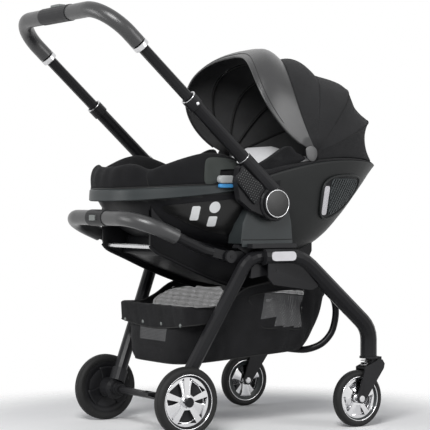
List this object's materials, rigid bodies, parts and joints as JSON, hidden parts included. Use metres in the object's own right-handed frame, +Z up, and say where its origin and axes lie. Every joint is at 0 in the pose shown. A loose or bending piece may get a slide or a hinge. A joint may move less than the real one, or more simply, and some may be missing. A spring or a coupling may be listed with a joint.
{
  "type": "travel system stroller",
  "caption": "Travel system stroller: infant carrier shell with folding canopy and telescopic handle, plugged onto a folding chassis with swivel casters and basket.",
  "frame": {"origin": "on the floor plane, under the centre of the bounding box", "axes": "+Z up, +X towards the swivel front wheels, +Y towards the left side as seen by someone facing +X"},
  "size_m": [0.937, 0.5718, 1.0482],
  "materials": {
    "black_tube": "satin",
    "black_plastic": "matte",
    "shell_plastic": "matte",
    "casing_plastic": "satin",
    "grey_plastic": "satin",
    "tyre_rubber": "matte",
    "chrome": "polished",
    "steel": "satin",
    "reflector": "gloss",
    "leather_grip": "satin",
    "seat_fabric": "matte",
    "canopy_fabric": "matte",
    "insert_fabric": "matte",
    "basket_fabric": "matte"
  },
  "bodies": {
    "front_frame": {"front_leg_left": "black_tube", "front_leg_right": "black_tube", "seat_socket_left": "black_plastic", "seat_socket_right": "black_plastic", "reflector_left": "reflector", "reflector_right": "reflector", "basket": "basket_fabric", "basket_hoop": "black_tube"},
    "rear_frame": {"rear_leg_left": "black_tube", "rear_leg_right": "black_tube", "brake_housing_left": "black_plastic", "brake_housing_right": "black_plastic", "rear_axle": "black_tube"},
    "brake": {"brake_pedal": "black_plastic"},
    "rear_wheel_left": {"rear_tyre_left": "tyre_rubber", "rear_rim_left": "chrome"},
    "rear_wheel_right": {"rear_tyre_right": "tyre_rubber", "rear_rim_right": "chrome"},
    "caster_left": {"caster_head_left": "black_plastic", "fork_spring_left": "steel"},
    "fork_left": {"caster_fork_left": "black_plastic", "front_axle_left": "steel"},
    "front_wheel_left": {"front_tyre_left": "tyre_rubber", "front_rim_left": "chrome"},
    "caster_right": {"caster_head_right": "black_plastic", "fork_spring_right": "steel"},
    "fork_right": {"caster_fork_right": "black_plastic", "front_axle_right": "steel"},
    "front_wheel_right": {"front_tyre_right": "tyre_rubber", "front_rim_right": "chrome"},
    "grab_bar": {"grab_bar_tube": "black_tube", "grab_grip": "leather_grip", "grab_switch_housing": "black_plastic"},
    "grab_bar_release": {"grab_release": "grey_plastic"},
    "carrier": {"seat_shell": "shell_plastic", "side_casing_left": "casing_plastic", "side_casing_right": "casing_plastic", "carry_rod": "steel", "vent_grille_left": "black_plastic", "vent_grille_right": "black_plastic", "seat_liner": "seat_fabric", "newborn_insert": "insert_fabric", "harness_buckle": "black_plastic", "belt_guide_left": "grey_plastic", "belt_guide_right": "grey_plastic", "canopy_tail": "canopy_fabric"},
    "handle": {"handle_arm_left": "black_plastic", "handle_arm_right": "black_plastic", "lower_tube_left": "black_tube", "lower_tube_right": "black_tube"},
    "handle_top": {"handle_tube": "black_tube", "handle_grip": "leather_grip", "handle_switch_housing": "black_plastic"},
    "handle_release": {"handle_release": "grey_plastic"},
    "hub_button_left": {"hub_button_left": "black_plastic"},
    "hub_button_right": {"hub_button_right": "black_plastic"},
    "canopy_front": {"canopy_band": "leather_grip"},
    "canopy_second": {"canopy_panel_second": "canopy_fabric"},
    "canopy_third": {"canopy_panel_third": "canopy_fabric"},
    "canopy_fourth": {"canopy_panel_fourth": "canopy_fabric"}
  },
  "joints": [
    {"name": "chassis_fold", "type": "hinge", "parent": "front_frame", "child": "rear_frame", "pos_m": [0.0215, 0, 0.4], "axis": [0, -1, 0], "range_deg": [0, 55]},
    {"name": "brake_pedal_turn", "type": "hinge", "parent": "rear_frame", "child": "brake", "pos_m": [-0.2065, 0, 0.085], "axis": [0, -1, 0], "range_deg": [0, 15]},
    {"name": "rear_wheel_left_spin", "type": "hinge", "parent": "rear_frame", "child": "rear_wheel_left", "pos_m": [-0.2065, 0.204, 0.085], "axis": [0, 1, 0], "continuous": true},
    {"name": "rear_wheel_right_spin", "type": "hinge", "parent": "rear_frame", "child": "rear_wheel_right", "pos_m": [-0.2065, -0.204, 0.085], "axis": [0, 1, 0], "continuous": true},
    {"name": "caster_left_swivel", "type": "hinge", "parent": "front_frame", "child": "caster_left", "pos_m": [0.3005, 0.2624, 0.1765], "axis": [0, 0, 1], "continuous": true},
    {"name": "fork_left_suspension", "type": "hinge", "parent": "caster_left", "child": "fork_left", "pos_m": [0.3215, 0.2624, 0.154], "axis": [0, 1, 0], "range_deg": [0, 6], "stiffness_Nm_per_rad": 14, "springref_deg": -18.33, "deforming": ["fork_spring_left"]},
    {"name": "front_wheel_left_spin", "type": "hinge", "parent": "fork_left", "child": "front_wheel_left", "pos_m": [0.2645, 0.2624, 0.071], "axis": [0, 1, 0], "continuous": true},
    {"name": "caster_right_swivel", "type": "hinge", "parent": "front_frame", "child": "caster_right", "pos_m": [0.3005, -0.2624, 0.1765], "axis": [0, 0, 1], "continuous": true},
    {"name": "fork_right_suspension", "type": "hinge", "parent": "caster_right", "child": "fork_right", "pos_m": [0.3215, -0.2624, 0.154], "axis": [0, 1, 0], "range_deg": [0, 6], "stiffness_Nm_per_rad": 14, "springref_deg": -18.33, "deforming": ["fork_spring_right"]},
    {"name": "front_wheel_right_spin", "type": "hinge", "parent": "fork_right", "child": "front_wheel_right", "pos_m": [0.2645, -0.2624, 0.071], "axis": [0, 1, 0], "continuous": true},
    {"name": "grab_bar_pivot", "type": "hinge", "parent": "front_frame", "child": "grab_bar", "pos_m": [-0.0785, 0, 0.434], "axis": [0, -1, 0], "range_deg": [0, 50]},
    {"name": "grab_bar_release_press", "type": "slide", "parent": "grab_bar", "child": "grab_bar_release", "axis": [1, 0, 0], "range_m": [0, 0.0025], "stiffness_N_per_m": 500, "springref_m": -0.004},
    {"name": "carrier_lift_off", "type": "slide", "parent": "front_frame", "child": "carrier", "axis": [0, 0, 1], "range_m": [0, 0.12]},
    {"name": "handle_pivot", "type": "hinge", "parent": "carrier", "child": "handle", "pos_m": [0.0245, 0, 0.564], "axis": [0, 1, 0], "range_deg": [0, 110]},
    {"name": "handle_telescope", "type": "slide", "parent": "handle", "child": "handle_top", "axis": [0.7408, 0, -0.6717], "range_m": [0, 0.15]},
    {"name": "handle_release_press", "type": "slide", "parent": "handle_top", "child": "handle_release", "axis": [0, 0, -1], "range_m": [0, 0.0035], "stiffness_N_per_m": 500, "springref_m": -0.004},
    {"name": "hub_button_left_press", "type": "slide", "parent": "handle", "child": "hub_button_left", "axis": [0, -1, 0], "range_m": [0, 0.003], "stiffness_N_per_m": 500, "springref_m": -0.004},
    {"name": "hub_button_right_press", "type": "slide", "parent": "handle", "child": "hub_button_right", "axis": [0, 1, 0], "range_m": [0, 0.003], "stiffness_N_per_m": 500, "springref_m": -0.004},
    {"name": "canopy_front_hinge", "type": "hinge", "parent": "carrier", "child": "canopy_front", "pos_m": [0.1785, 0, 0.69], "axis": [0, 1, 0], "range_deg": [0, 78]},
    {"name": "canopy_second_hinge", "type": "hinge", "parent": "carrier", "child": "canopy_second", "pos_m": [0.1785, 0, 0.69], "axis": [0, 1, 0], "range_deg": [0, 55]},
    {"name": "canopy_third_hinge", "type": "hinge", "parent": "carrier", "child": "canopy_third", "pos_m": [0.1785, 0, 0.69], "axis": [0, 1, 0], "range_deg": [0, 35.2]},
    {"name": "canopy_fourth_hinge", "type": "hinge", "parent": "carrier", "child": "canopy_fourth", "pos_m": [0.1785, 0, 0.69], "axis": [0, 1, 0], "range_deg": [0, 16]}
  ],
  "couplings": [
    {"joint": "canopy_second_hinge", "follows": "canopy_front_hinge", "ratio": 0.705},
    {"joint": "canopy_third_hinge", "follows": "canopy_front_hinge", "ratio": 0.45},
    {"joint": "canopy_fourth_hinge", "follows": "canopy_front_hinge", "ratio": 0.205}
  ]
}
